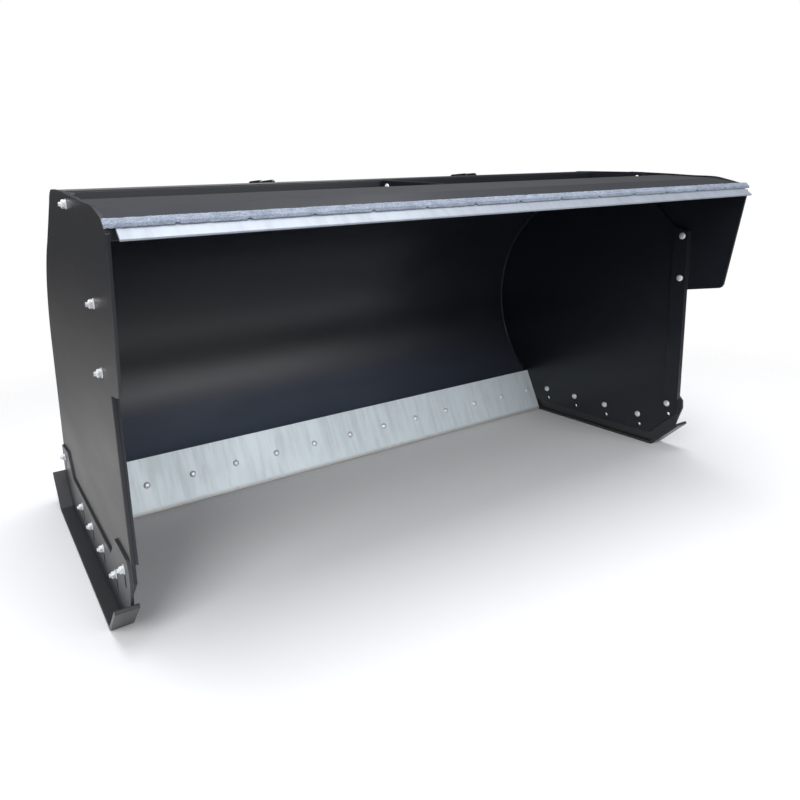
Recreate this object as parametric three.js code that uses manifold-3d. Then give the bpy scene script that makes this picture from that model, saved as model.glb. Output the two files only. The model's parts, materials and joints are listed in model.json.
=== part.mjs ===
// Box-type snow pusher for a compact loader, with a bolt-on pull-back hood.
// Millimetres. X runs across the pusher, -Y is the open front, +Z is up.
// The sizes below count y from the side plates' front edges; the finished group is then moved
// along Y, so that its origin is the bottom centre of the whole pusher, on the ground.
import * as THREE from 'three';
import { mergeVertices } from 'three/addons/utils/BufferGeometryUtils.js';
import Module from 'manifold-3d';

const wasm = await Module();
wasm.setup();

// ---- driving dimensions -------------------------------------------------------------
const GAP = 0.3; // clearance kept between neighbouring pieces
const WIDTH = 2438.4; // over the side plates
const SIDE_T = 12.7; // side plate thickness
const HALF = WIDTH / 2;
const INNER = HALF - SIDE_T; // inner face of a side plate
const SPAN = INNER - GAP; // half length of everything that runs between the side plates

const BOARD = { y: 515, z: 611, r: 555, t: 6.4 }; // moldboard arc: centre, inner radius, thickness
const BOARD_FROM = -48; // degrees from the +Y direction to the lower end of the arc
const BOARD_TO = 90; // and to its upper end

const EDGE_TOP = { y: 867, z: 206 }; // front top line of the cutting edge
const EDGE_LEAN = 65.4; // degrees from level to the blade's face
const EDGE_H = 220; // blade height along its face
const EDGE_T = 12.7;
const EDGE_BOLT_PITCH = 193.2;
const EDGE_BOLTS = 13;
const EDGE_BOLT_DROP = 109; // below the blade's top, along its face
const BACKING_TOP = 6; // where the backing bar starts, below the blade's top
const BACKING_H = 140;

const HOOD_T = 6.4; // hood plate thickness
const EAR_T = 10; // hood end plate thickness
const EAR_IN = HALF + GAP;
const HOOD_FRONT = -188; // front face of the hood's front flange
const HOOD_LOW = 1123; // lower edge of that flange
const HOOD_BROW = 1169; // where the flange meets the first slope
const HOOD_BEND = { y: -90, z: 1197 };
const HOOD_BACK = { y: 130, z: 1222 };
const PULL_BOLTS = 13;
const PULL_PITCH = 178;
const LIP_EDGE = { y: -235, z: 1127 }; // front edge of the pull-back blade's upper face
const LIP_T = 6.4;
const LIP_BEVEL = 4.5; // how far the under edge stands behind the upper one
const STRIP_FOOT = 1147; // lower edge of the edging strip that lies on the blade
const STRIP_TOP = 1171;
const STRIP_OUT = 24; // reach of the strip in front of the flange
const STRIP_HALF = 1232; // the strip runs across the front of both end plates

const TOP_TUBE = { y0: 500, z0: 1173, size: 88.9, wall: 6.4 };

const RIB_T = 10;
const RIB_X = [460, 510]; // pair of ribs on each side of the middle
const RIB_TOP = 1272; // their lugs over the top tube
const RIB_BACK = 1128; // rear edge of the ribs, where the coupler plate is welded
const RIB_CLEAR = 1.6; // between the moldboard's facets and the ribs behind them

const COUPLER = { half: 571.5, z0: 170, z1: 600, t: 9.5 };
const WINDOW = { half: 300, z0: 280, z1: 510 }; // opening in the coupler plate

const SOLE_T = 12.7;
const SOLE_IN = INNER + 1; // inner edge of the shoe's sole
const SOLE_OUT = 1277;
const SOLE_Y = [116, 1030]; // flat stretch of the sole
const SOLE_TIP = 172; // length of each turned-up end
const BRACKET_T = 9.5;
const SHOE_TRAVEL = 51; // length of the adjusting slots, centre to centre
const SHOE_BOLTS = [
  { y: 52, z: 215 },
  { y: 190, z: 129 },
  { y: 369, z: 129 },
  { y: 548, z: 129 },
  { y: 727, z: 129 },
  { y: 1060, z: 215 },
];

const SHANK_R = 6.35; // every bolt is 12.7 mm
const HOLE_R = 7.1;
const HEAD_R = 13.6;
const HEAD_H = 6.4;
const NUT_R = 12; // across corners
const NUT_H = 11;
const FLANGE_R = 14.5; // the nut's own flange
const FLANGE_T = 3;
const THREAD_OUT = 6; // thread standing out of the nut
const SLOT_R = 8.5; // half width of the shoe brackets' slots
const LOW_HOLE_R = 9; // holes of the lower row

// ---- colours ------------------------------------------------------------------------
const PAINT = { color: 0x0b0c0f, roughness: 0.32, metalness: 0.1 };
const ZINC = { color: 0xb4bcc4, roughness: 0.34, metalness: 0.9 };
const BLADE = { color: 0xaab6ba, roughness: 0.42, metalness: 0.75 };
const RUBBER = { color: 0x8b96ab, roughness: 0.85, metalness: 0.0 };

// ---- helpers ------------------------------------------------------------------------
const rad = (deg) => (deg * Math.PI) / 180;
const point = (y, z) => new THREE.Vector2(y, z);

function piece(name, geometry, look) {
  const mesh = new THREE.Mesh(geometry, new THREE.MeshStandardMaterial(look));
  mesh.name = name;
  return mesh;
}

// Points of an arc in the Y-Z plane, angles in degrees from +Y towards +Z.
function arc(cy, cz, r, from, to, steps) {
  const points = [];
  for (let i = 0; i <= steps; i += 1) {
    const a = rad(from + ((to - from) * i) / steps);
    points.push(point(cy + r * Math.cos(a), cz + r * Math.sin(a)));
  }
  return points;
}

const hole = (y, z, r = HOLE_R, steps = 12) => new THREE.Path(arc(y, z, r, 0, 360 - 360 / steps, steps - 1));

// Upright slot with round ends, from (y, z) down by length.
function slot(y, z, length, r) {
  const top = arc(y, z, r, 0, 180, 6);
  const bottom = arc(y, z - length, r, 180, 360, 6);
  return new THREE.Path([...top, ...bottom]);
}

// A plate whose outline lies in the Y-Z plane, between two X positions.
function plateX(outline, x0, x1, holes = []) {
  const shape = new THREE.Shape(outline);
  shape.holes.push(...holes);
  const geometry = new THREE.ExtrudeGeometry(shape, { depth: Math.abs(x1 - x0), bevelEnabled: false });
  const axes = new THREE.Matrix4().makeBasis(
    new THREE.Vector3(0, 1, 0),
    new THREE.Vector3(0, 0, 1),
    new THREE.Vector3(1, 0, 0),
  );
  geometry.applyMatrix4(axes);
  return geometry.translate(Math.min(x0, x1), 0, 0);
}

// A sheet bent along a path in the Y-Z plane; the sheet lies to the right of the path.
function bentSheet(path, thickness) {
  const back = path.map((p, i) => {
    const before = path[Math.max(i - 1, 0)];
    const after = path[Math.min(i + 1, path.length - 1)];
    const into = i > 0 ? p.clone().sub(before).normalize() : after.clone().sub(p).normalize();
    const out = i < path.length - 1 ? after.clone().sub(p).normalize() : into.clone();
    const side = point(into.y + out.y, -into.x - out.x).normalize();
    const grow = thickness / Math.max(side.dot(point(into.y, -into.x)), 0.3);
    return p.clone().addScaledVector(side, grow);
  });
  return [...path, ...back.reverse()];
}

function box(x0, x1, y0, y1, z0, z1) {
  const geometry = new THREE.BoxGeometry(x1 - x0, y1 - y0, z1 - z0);
  return geometry.translate((x0 + x1) / 2, (y0 + y1) / 2, (z0 + z1) / 2);
}

function toSolid(geometry) {
  const bare = geometry.clone();
  bare.deleteAttribute('normal');
  bare.deleteAttribute('uv');
  const merged = mergeVertices(bare, 1e-4);
  return new wasm.Manifold(
    new wasm.Mesh({
      numProp: 3,
      vertProperties: new Float32Array(merged.attributes.position.array),
      triVerts: new Uint32Array(merged.index.array),
    }),
  );
}

function toGeometry(solid) {
  const mesh = solid.getMesh();
  const geometry = new THREE.BufferGeometry();
  geometry.setAttribute('position', new THREE.BufferAttribute(new Float32Array(mesh.vertProperties), 3));
  geometry.setIndex(new THREE.BufferAttribute(new Uint32Array(mesh.triVerts), 1));
  geometry.computeVertexNormals();
  return geometry;
}

// Solid prism along +Y, from y0 to y1, with the given number of sides.
function prism(r, y0, y1, sides) {
  return new THREE.LatheGeometry([point(0, y0), point(r, y0), point(r, y1), point(0, y1)], sides);
}

// Carriage bolt with its flange nut, along +Y: the head sits on y = 0 and the nut's flange on y = -grip.
function fastener(grip) {
  const foot = -grip - FLANGE_T - NUT_H - THREAD_OUT;
  const bolt = new THREE.LatheGeometry(
    [
      point(0, foot),
      point(SHANK_R, foot),
      point(SHANK_R, 0),
      point(HEAD_R, 0),
      point(HEAD_R * 0.72, HEAD_H * 0.72),
      point(0, HEAD_H),
    ],
    8,
  );
  const flange = prism(FLANGE_R, -grip - FLANGE_T, -grip, 8);
  const nut = prism(NUT_R, -grip - FLANGE_T - NUT_H, -grip - FLANGE_T / 2, 6);
  return toGeometry(toSolid(bolt).add(toSolid(flange)).add(toSolid(nut)));
}

// One named fastener at each place, in a group that the caller may turn.
function fasteners(prefix, solid, places) {
  return places.map(([x, y, z], i) => {
    const mesh = piece(`${prefix}_${i + 1}`, solid, ZINC);
    mesh.position.set(x, y, z);
    return mesh;
  });
}

// Turns a solid made along +Y so that it points along +X or -X.
const alongX = (solid, sign) => solid.clone().rotateZ(-sign * Math.PI / 2);

// ---- moldboard and structure --------------------------------------------------------
const boardOuter = BOARD.r + BOARD.t;

function moldboard() {
  const inner = arc(BOARD.y, BOARD.z, BOARD.r, BOARD_FROM, BOARD_TO, 28);
  const outer = arc(BOARD.y, BOARD.z, boardOuter, BOARD_TO, BOARD_FROM, 28);
  return piece('moldboard', plateX([...inner, ...outer], -SPAN, SPAN), PAINT);
}

// Panel that closes the box between the moldboard's upper edge and the hood.
const PANEL = { back: point(511, 1171.5), front: point(70, 1203), t: 5 };

function topPanel() {
  return piece('top_panel', plateX(bentSheet([PANEL.front, PANEL.back], PANEL.t), -SPAN, SPAN), PAINT);
}

function topTube() {
  const { y0, z0, size, wall } = TOP_TUBE;
  const square = (inset) => [
    point(y0 + inset, z0 + inset),
    point(y0 + size - inset, z0 + inset),
    point(y0 + size - inset, z0 + size - inset),
    point(y0 + inset, z0 + size - inset),
  ];
  const bore = new THREE.Path(square(wall));
  return piece('rear_top_tube', plateX(square(0), -SPAN, SPAN, [bore]), PAINT);
}

// Height of the closing panel's upper face at a given y.
function panelTop(y) {
  const t = (y - PANEL.front.x) / (PANEL.back.x - PANEL.front.x);
  return PANEL.front.y + t * (PANEL.back.y - PANEL.front.y);
}

const BRACE = { x: 4, back: TOP_TUBE.y0 - GAP, front: HOOD_BACK.y + 8, rise: 81 };
const BRACE_BOLT = { y: 468, z: 1226 };

function centreBrace() {
  const { back, front } = BRACE;
  const outline = [
    point(front, panelTop(front) + GAP),
    point(back, panelTop(back) + GAP),
    point(back, TOP_TUBE.z0 + BRACE.rise),
    point(front, HOOD_BACK.z + 2),
  ];
  const holes = [hole(BRACE_BOLT.y, BRACE_BOLT.z)];
  return piece('centre_brace', plateX(outline, -BRACE.x, BRACE.x, holes), PAINT);
}

function centreBraceBolt() {
  const bolt = alongX(fastener(2 * (BRACE.x + GAP)), -1);
  const mesh = piece('centre_brace_bolt', bolt, ZINC);
  mesh.position.set(-BRACE.x - GAP, BRACE_BOLT.y, BRACE_BOLT.z);
  return mesh;
}

// Folded sheet behind the blade: it closes a three-cornered torsion box with the moldboard.
const BOX_BACK = 985;
const BOX_LOW = 70;
const BOX_T = 6.4;

function lowerChannel() {
  const path = [point(836, BOX_LOW), point(BOX_BACK, BOX_LOW), point(BOX_BACK, 296)];
  return piece('lower_channel', plateX(bentSheet(path, BOX_T), -SPAN, SPAN), PAINT);
}

function rib(name, x) {
  const clear = boardOuter + RIB_CLEAR;
  const front = BOX_BACK + BOX_T + GAP;
  const tubeBack = TOP_TUBE.y0 + TOP_TUBE.size + GAP;
  const tubeTop = TOP_TUBE.z0 + TOP_TUBE.size + GAP;
  const lowAngle = (-Math.acos((front - BOARD.y) / clear) * 180) / Math.PI;
  const highAngle = (Math.acos((tubeBack - BOARD.y) / clear) * 180) / Math.PI;
  const outline = [
    ...arc(BOARD.y, BOARD.z, clear, highAngle, lowAngle, 18),
    point(front, 100),
    point(RIB_BACK - 40, 100),
    point(RIB_BACK, 140),
    point(RIB_BACK, 650),
    point(1080, 860),
    point(900, 1085),
    point(690, 1236),
    point(622, RIB_TOP),
    point(540, RIB_TOP),
    point(526, tubeTop),
    point(tubeBack, tubeTop),
  ];
  return piece(name, plateX(outline.reverse(), x - RIB_T / 2, x + RIB_T / 2), PAINT);
}

// ---- loader coupler -----------------------------------------------------------------
const COUPLER_Y = RIB_BACK + GAP;

function couplerPlate() {
  const { half, z0, z1, t } = COUPLER;
  const shape = new THREE.Shape([
    new THREE.Vector2(-half, z0),
    new THREE.Vector2(half, z0),
    new THREE.Vector2(half, z1),
    new THREE.Vector2(-half, z1),
  ]);
  const window = new THREE.Path([
    new THREE.Vector2(-WINDOW.half, WINDOW.z0),
    new THREE.Vector2(WINDOW.half, WINDOW.z0),
    new THREE.Vector2(WINDOW.half, WINDOW.z1),
    new THREE.Vector2(-WINDOW.half, WINDOW.z1),
  ]);
  shape.holes.push(window);
  const geometry = new THREE.ExtrudeGeometry(shape, { depth: t, bevelEnabled: false });
  const mesh = piece('coupler_plate', geometry, PAINT);
  mesh.rotation.x = Math.PI / 2;
  mesh.position.y = COUPLER_Y + t;
  return mesh;
}

// Angled hook along the plate's top, open downwards, over the loader's carrier plate.
function couplerHook() {
  const y = COUPLER_Y + COUPLER.t + GAP;
  const z = COUPLER.z1;
  const outline = [
    point(y, z - 12),
    point(y + 44, z - 56),
    point(y + 53, z - 47),
    point(y + 9, z),
    point(y, z),
  ];
  return piece('coupler_hook', plateX(outline, -COUPLER.half, COUPLER.half), PAINT);
}

// Sloping ledge along the plate's foot, with a slot for each of the loader's two lock pins.
// Its lower front edge lies along the plate at height z.
const LEDGE = { z: 204, out: 62, t: 12.7, slope: -30, pinX: 508, slotX: 62, slotY: 26 };

function couplerLedge() {
  const { out, t, pinX, slotX, slotY } = LEDGE;
  let solid = toSolid(box(-COUPLER.half, COUPLER.half, 0, out, 0, t));
  for (const x of [-pinX, pinX]) {
    const middle = out * 0.58;
    const cutter = box(x - slotX / 2, x + slotX / 2, middle - slotY / 2, middle + slotY / 2, -5, t + 5);
    solid = solid.subtract(toSolid(cutter));
  }
  const mesh = piece('coupler_ledge', toGeometry(solid), PAINT);
  mesh.rotation.x = rad(LEDGE.slope);
  mesh.position.set(0, COUPLER_Y + COUPLER.t + GAP, LEDGE.z);
  return mesh;
}

// ---- side plates --------------------------------------------------------------------
const SIDE_LOW = 55;
const SIDE_MARGIN = 12; // side plate standing out behind the moldboard
const LOWER_HOLE = { y: -9, z: 2 - SHOE_TRAVEL }; // second row of shoe bolt holes, from the first
const EAR_BOLTS = [
  { y: 24, z: 785 },
  { y: 24, z: 964 },
  { y: 255, z: 1214 },
];

// The corners over the shoe's turned-up ends are cut back at 45 degrees, clear of the shoe at its highest.
const CORNER_FRONT = SOLE_Y[0] + SOLE_T * Math.SQRT2 + SHOE_TRAVEL + 4; // y + z along the front cut
const CORNER_BACK = SOLE_Y[1] - SOLE_T * Math.SQRT2 - SHOE_TRAVEL - 4; // y - z along the rear cut

function sideOutline() {
  return [
    point(0, CORNER_FRONT),
    point(CORNER_FRONT - SIDE_LOW, SIDE_LOW),
    point(CORNER_BACK + SIDE_LOW, SIDE_LOW),
    point(1156, 1156 - CORNER_BACK),
    ...arc(BOARD.y, BOARD.z, boardOuter + SIDE_MARGIN, 8, 58, 12),
    ...arc(570, 1168, 98, 40, 90, 5),
    point(228, 1240),
    point(214, 1196),
    point(150, 1096),
    point(64, 1001),
    point(0, 984),
  ];
}

function sidePlate(name, side) {
  const holes = EAR_BOLTS.map(({ y, z }) => hole(y, z));
  for (const { y, z } of SHOE_BOLTS) {
    holes.push(hole(y, z), hole(y + LOWER_HOLE.y, z + LOWER_HOLE.z, LOW_HOLE_R));
  }
  const mesh = piece(name, plateX(sideOutline(), INNER, HALF, holes), PAINT);
  mesh.position.x = side > 0 ? 0 : -INNER - HALF;
  return mesh;
}

// Flat bar that doubles the side plate's front edge, bolted together with the hood's ear.
const STIFF = { depth: 63.5, t: 8, z0: 244 };

function frontStiffener(name, side) {
  const outline = [point(0, STIFF.z0), point(STIFF.depth, STIFF.z0), point(STIFF.depth, 1000), point(0, 983)];
  const inside = INNER - GAP;
  const holes = EAR_BOLTS.slice(0, 2).map(({ y, z }) => hole(y, z));
  const mesh = piece(name, plateX(outline, inside - STIFF.t, inside, holes), PAINT);
  mesh.position.x = side > 0 ? 0 : -2 * inside + STIFF.t;
  return mesh;
}

// ---- blade --------------------------------------------------------------------------
// Local frame of the blade: x across, y up along its face, z out of its face.
const edgeBoltX = Array.from({ length: EDGE_BOLTS }, (_, i) => (i - (EDGE_BOLTS - 1) / 2) * EDGE_BOLT_PITCH);

function drilledBar(name, top, height, thickness, look) {
  const shape = new THREE.Shape([
    new THREE.Vector2(-SPAN, top - height),
    new THREE.Vector2(SPAN, top - height),
    new THREE.Vector2(SPAN, top),
    new THREE.Vector2(-SPAN, top),
  ]);
  for (const x of edgeBoltX) {
    shape.holes.push(hole(x, -EDGE_BOLT_DROP));
  }
  return piece(name, new THREE.ExtrudeGeometry(shape, { depth: thickness, bevelEnabled: false }), look);
}

function blade() {
  const group = new THREE.Group();
  group.position.set(0, EDGE_TOP.y, EDGE_TOP.z);
  group.rotation.x = rad(EDGE_LEAN);

  const edge = drilledBar('cutting_edge', 0, EDGE_H, EDGE_T, BLADE);
  edge.position.z = -EDGE_T;
  const backing = drilledBar('edge_backing_bar', -BACKING_TOP, BACKING_H, EDGE_T, PAINT);
  backing.position.z = -2 * EDGE_T - GAP;

  const bolt = fastener(2 * EDGE_T + 3 * GAP).rotateX(Math.PI / 2);
  const places = edgeBoltX.map((x) => [x, -EDGE_BOLT_DROP, GAP]);
  group.add(edge, backing, ...fasteners('edge_bolt', bolt, places));
  return group;
}

// ---- hood ---------------------------------------------------------------------------
function hoodPlate() {
  const path = [
    point(HOOD_FRONT, HOOD_LOW),
    point(HOOD_FRONT, HOOD_BROW),
    point(HOOD_BEND.y, HOOD_BEND.z),
    point(HOOD_BACK.y, HOOD_BACK.z),
  ];
  return piece('hood_top_plate', plateX(bentSheet(path, HOOD_T), -HALF, HALF), PAINT);
}

function hoodEar(name, side) {
  const outline = [
    point(80, 724),
    point(80, 905),
    point(304, 1176),
    point(304, 1247),
    point(112, 1226),
    point(16, 1214),
    point(-76, 1204),
    point(-120, 1192),
    point(HOOD_FRONT, HOOD_BROW),
    point(HOOD_FRONT, STRIP_FOOT - GAP),
    point(-209, STRIP_FOOT - GAP),
    point(-146, 770),
    point(-140, 758),
    point(-130, 753),
  ];
  const holes = EAR_BOLTS.map(({ y, z }) => hole(y, z));
  const mesh = piece(name, plateX(outline.reverse(), EAR_IN, EAR_IN + EAR_T, holes), PAINT);
  mesh.position.x = side > 0 ? 0 : -2 * EAR_IN - EAR_T;
  return mesh;
}

const pullX = Array.from({ length: PULL_BOLTS }, (_, i) => (i - (PULL_BOLTS - 1) / 2) * PULL_PITCH);
const NOTCH_R = 9;

// Rise per millimetre of depth of the pull-back blade's upper face, which ends just under the strip's foot.
function lipSlope() {
  const depth = HOOD_FRONT - GAP - STRIP_OUT - LIP_EDGE.y;
  return (STRIP_FOOT - GAP - LIP_EDGE.z) / depth;
}

// Sloping blade along the hood's lower front, which drags snow back. Its front edge is bevelled underneath.
function pullBackBlade() {
  const y1 = HOOD_FRONT - GAP;
  const slope = lipSlope();
  const top = LIP_EDGE.z + slope * (y1 - LIP_EDGE.y);
  const drop = LIP_T * Math.hypot(1, slope);
  const outline = [
    point(y1, top),
    point(LIP_EDGE.y, LIP_EDGE.z),
    point(LIP_EDGE.y + LIP_BEVEL, LIP_EDGE.z + LIP_BEVEL * slope - drop),
    point(y1, top - drop),
  ];
  return piece('pullback_blade', plateX(outline, -SPAN, SPAN), BLADE);
}

// Rough edging strip on top of that blade, relieved by a half-round notch at each bolt.
function edgingStrip() {
  const y1 = HOOD_FRONT - GAP;
  const outline = [
    point(y1, STRIP_FOOT + lipSlope() * STRIP_OUT),
    point(y1, STRIP_TOP + 3),
    point(y1 - 8, STRIP_TOP + 2),
    point(y1 - 20, STRIP_TOP - 10),
    point(y1 - STRIP_OUT, STRIP_FOOT),
  ];
  let solid = toSolid(plateX(outline.reverse(), -STRIP_HALF, STRIP_HALF));
  for (const x of pullX) {
    const cutter = new THREE.CylinderGeometry(NOTCH_R, NOTCH_R, 20, 10).rotateX(Math.PI / 2);
    solid = solid.subtract(toSolid(cutter.translate(x, y1 - STRIP_OUT, STRIP_FOOT)));
  }
  return piece('edging_strip', toGeometry(solid), RUBBER);
}

// Two bolts through stiffener, side plate and ear, and one through the plate and ear behind.
function earBolts(word, side) {
  return EAR_BOLTS.map(({ y, z }, i) => {
    const seat = INNER - GAP - (i < 2 ? STIFF.t + GAP : 0);
    const bolt = alongX(fastener(EAR_IN + EAR_T + GAP - seat), -side);
    const mesh = piece(`${word}_ear_bolt_${i + 1}`, bolt, ZINC);
    mesh.position.set(side * seat, y, z);
    return mesh;
  });
}

// ---- skid shoes ---------------------------------------------------------------------
const BRACKET_IN = HALF + GAP;

function shoeSole(name, side) {
  const rise = SOLE_TIP * Math.SQRT1_2;
  const path = [
    point(SOLE_Y[1] + rise, rise),
    point(SOLE_Y[1], 0),
    point(SOLE_Y[0], 0),
    point(SOLE_Y[0] - rise, rise),
  ];
  const mesh = piece(name, plateX(bentSheet(path, SOLE_T), SOLE_IN, SOLE_OUT), PAINT);
  mesh.position.x = side > 0 ? 0 : -SOLE_IN - SOLE_OUT;
  return mesh;
}

function shoeBracket(name, side) {
  const foot = SOLE_T + GAP;
  const heel = SOLE_T * (Math.SQRT2 - 1) + 0.6;
  const outline = [
    point(SOLE_Y[0] + heel, foot),
    point(SOLE_Y[1] - heel, foot),
    point(SOLE_Y[1] - heel + 94, foot + 94),
    point(SOLE_Y[1] + 100, 150),
    point(SOLE_Y[1] + 88, 250),
    point(968, 262),
    point(900, 176),
    point(236, 176),
    point(150, 262),
    point(10, 262),
    point(-10, 240),
    point(-12, 205),
    point(SOLE_Y[0] + heel - 105, foot + 105),
  ];
  const holes = SHOE_BOLTS.map(({ y, z }) => slot(y, z, SHOE_TRAVEL, SLOT_R));
  const mesh = piece(name, plateX(outline, BRACKET_IN, BRACKET_IN + BRACKET_T, holes), PAINT);
  mesh.position.x = side > 0 ? 0 : -2 * BRACKET_IN - BRACKET_T;
  return mesh;
}

function shoeBolts(word, side) {
  const seat = INNER - GAP;
  const bolt = alongX(fastener(BRACKET_IN + BRACKET_T + GAP - seat), -side);
  const places = SHOE_BOLTS.map(({ y, z }) => [side * seat, y, z]);
  return fasteners(`${word}_shoe_bolt`, bolt, places);
}

// ---- the whole pusher ---------------------------------------------------------------
const pusher = new THREE.Group();
pusher.add(moldboard(), topPanel(), topTube(), centreBrace(), centreBraceBolt(), lowerChannel());
pusher.add(blade(), hoodPlate(), pullBackBlade(), edgingStrip());
pusher.add(couplerPlate(), couplerHook(), couplerLedge());

for (const [word, side] of [['left', -1], ['right', 1]]) {
  RIB_X.forEach((x, i) => pusher.add(rib(`${word}_rib_${i + 1}`, side * x)));
  pusher.add(sidePlate(`${word}_side_plate`, side), frontStiffener(`${word}_front_stiffener`, side));
  pusher.add(hoodEar(`${word}_hood_ear`, side), ...earBolts(word, side));
  pusher.add(shoeSole(`${word}_shoe_sole`, side), shoeBracket(`${word}_shoe_bracket`, side));
  pusher.add(...shoeBolts(word, side));
}

const extent = new THREE.Box3().setFromObject(pusher);
pusher.position.y = -(extent.min.y + extent.max.y) / 2;

export default pusher;
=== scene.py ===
"""Box-type snow pusher for a compact loader, as an add-on: one operator makes each group of pieces."""
import json
import math

import bpy
import numpy as np
from bpy.props import FloatProperty, FloatVectorProperty, IntProperty, PointerProperty
from mathutils import Matrix, Vector
from mathutils.geometry import tessellate_polygon


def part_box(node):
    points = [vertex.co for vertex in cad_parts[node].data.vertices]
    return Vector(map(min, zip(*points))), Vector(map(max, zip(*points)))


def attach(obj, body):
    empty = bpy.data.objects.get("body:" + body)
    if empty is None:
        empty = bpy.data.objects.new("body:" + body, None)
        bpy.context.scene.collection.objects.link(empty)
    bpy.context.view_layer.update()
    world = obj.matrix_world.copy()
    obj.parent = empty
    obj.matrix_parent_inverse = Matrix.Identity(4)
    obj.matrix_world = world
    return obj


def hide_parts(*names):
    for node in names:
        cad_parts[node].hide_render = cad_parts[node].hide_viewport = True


bl_info = {
    "name": "Snow Pusher",
    "version": (1, 0, 0),
    "blender": (4, 5, 0),
    "location": "View3D > Sidebar > Snow Pusher",
    "description": "Builds a loader's snow pusher with finished plates, fasteners, welds and paint",
    "category": "Object",
}

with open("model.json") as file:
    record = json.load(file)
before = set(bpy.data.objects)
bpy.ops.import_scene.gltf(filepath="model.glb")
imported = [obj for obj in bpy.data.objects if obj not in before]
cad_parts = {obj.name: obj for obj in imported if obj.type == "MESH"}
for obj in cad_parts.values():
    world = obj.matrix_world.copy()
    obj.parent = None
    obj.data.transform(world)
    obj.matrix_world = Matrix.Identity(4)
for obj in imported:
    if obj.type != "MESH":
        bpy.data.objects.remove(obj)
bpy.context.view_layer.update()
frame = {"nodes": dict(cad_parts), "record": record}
MM = 0.001
SHEET = 6.4 * MM  # thickness of the bent sheets
PANEL = 5.0 * MM  # thickness of the closing panel
SOLE = 12.7 * MM  # thickness of a shoe's sole
FLOOR_HALF = 9.0  # half the floor's width
FLOOR_FALL = 0.002  # fall of the floor at that distance
FLOOR_FADE = (1.5, 3.6)  # distances from the middle where the floor starts and stops fading
AXIS_X = np.array((1.0, 0.0, 0.0))
SIDES = (("left", -1), ("right", 1))


# ---- settings -------------------------------------------------------------------------

def length(name, description, default):
    """A length in metres, shown in the scene's own units."""
    return FloatProperty(name=name, description=description, default=default,
                         min=0.0, unit="LENGTH", precision=5)


def factor(name, description, default):
    """A plain number between 0 and 1."""
    return FloatProperty(name=name, description=description, default=default,
                         min=0.0, max=1.0, subtype="FACTOR")


def colour(name, description, default):
    """A linear colour."""
    return FloatVectorProperty(name=name, description=description, default=default,
                               subtype="COLOR", min=0.0, max=1.0)


class PlateSettings(bpy.types.PropertyGroup):
    """Edges and bends of plates and sheets."""
    edge: length("Edge rounding", "Radius that grinding and paint leave on a cut edge", 0.9 * MM)
    corner: length("Corner radius", "Radius of a plate's cut corners", 4.0 * MM)
    bend: length("Bend radius", "Inside radius of a folded sheet", 5.0 * MM)


class FastenerSettings(bpy.types.PropertyGroup):
    """Carriage bolts with flange nuts."""
    shank: length("Shank radius", "Radius of the bolt's shank", 6.35 * MM)
    head: length("Head radius", "Radius of the domed head", 13.6 * MM)
    head_height: length("Head height", "Height of the domed head", 6.4 * MM)
    nut: length("Nut radius", "Radius of the nut over its corners", 12.0 * MM)
    nut_height: length("Nut height", "Height of the hexagon", 11.0 * MM)
    flange: length("Flange radius", "Radius of the nut's flange", 14.5 * MM)
    flange_thickness: length("Flange thickness", "Thickness of the nut's flange", 3.0 * MM)
    thread_out: length("Thread out", "Thread standing out of the nut", 6.0 * MM)
    pitch: length("Thread pitch", "Distance between threads", 1.95 * MM)


class WeldSettings(bpy.types.PropertyGroup):
    """Fillet welds."""
    leg: length("Leg", "Leg length of a weld", 5.0 * MM)
    ripple: length("Ripple pitch", "Distance between the ripples of a bead", 3.2 * MM)
    relief: factor("Ripple relief", "Height of the ripples as a share of the leg", 0.05)


class EdgingSettings(bpy.types.PropertyGroup):
    """Rough strip along the hood's brow."""
    notch: length("Notch radius", "Radius of the relief at each bolt", 9.0 * MM)
    notch_depth: length("Notch depth", "Depth of that relief", 10.0 * MM)
    notches: IntProperty(name="Notches", description="Number of notches", default=13, min=1)
    notch_pitch: length("Notch pitch", "Distance between notches", 178.0 * MM)
    relief: length("Relief", "Depth of the rough surface", 1.7 * MM)


class FinishSettings(bpy.types.PropertyGroup):
    """Colours and sheen."""
    black: colour("Black enamel", "Colour of the paint", (0.010, 0.012, 0.017))
    # Brownish tone of the outer faces: mostly a painted reflection of the ground, with a little grime.
    reflection_and_grime_tone: colour("Dust", "Colour of the dust on the outer faces", (0.130, 0.122, 0.116))
    paint_roughness: factor("Paint roughness", "Roughness of clean paint", 0.30)
    orange_peel: factor("Orange peel", "Strength of the paint's texture", 0.12)
    zinc: colour("Zinc", "Colour of the plated fasteners", (0.90, 0.92, 0.94))
    blade: colour("Blade", "Colour of the plated blade", (0.78, 0.88, 0.93))
    # Both edging colours are a painted bluish sheen of sky light on a dark strip.
    edging_sheen_light: colour("Edging, light", "Light specks of the rough strip", (0.31, 0.36, 0.45))
    edging_sheen_dark: colour("Edging, dark", "Dark specks of the rough strip", (0.14, 0.165, 0.215))
    lip: colour("Pull-back blade", "Colour of the blade under the hood's strip", (0.34, 0.375, 0.43))
    # Painted reflection: bluish tone of sky light painted low on the moldboard.
    sky_reflection_tint: colour("Haze", "Colour of the scoured film low on the moldboard", (0.085, 0.105, 0.150))
    floor: colour("Floor", "Colour of the studio floor", (0.93, 0.93, 0.94))


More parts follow.
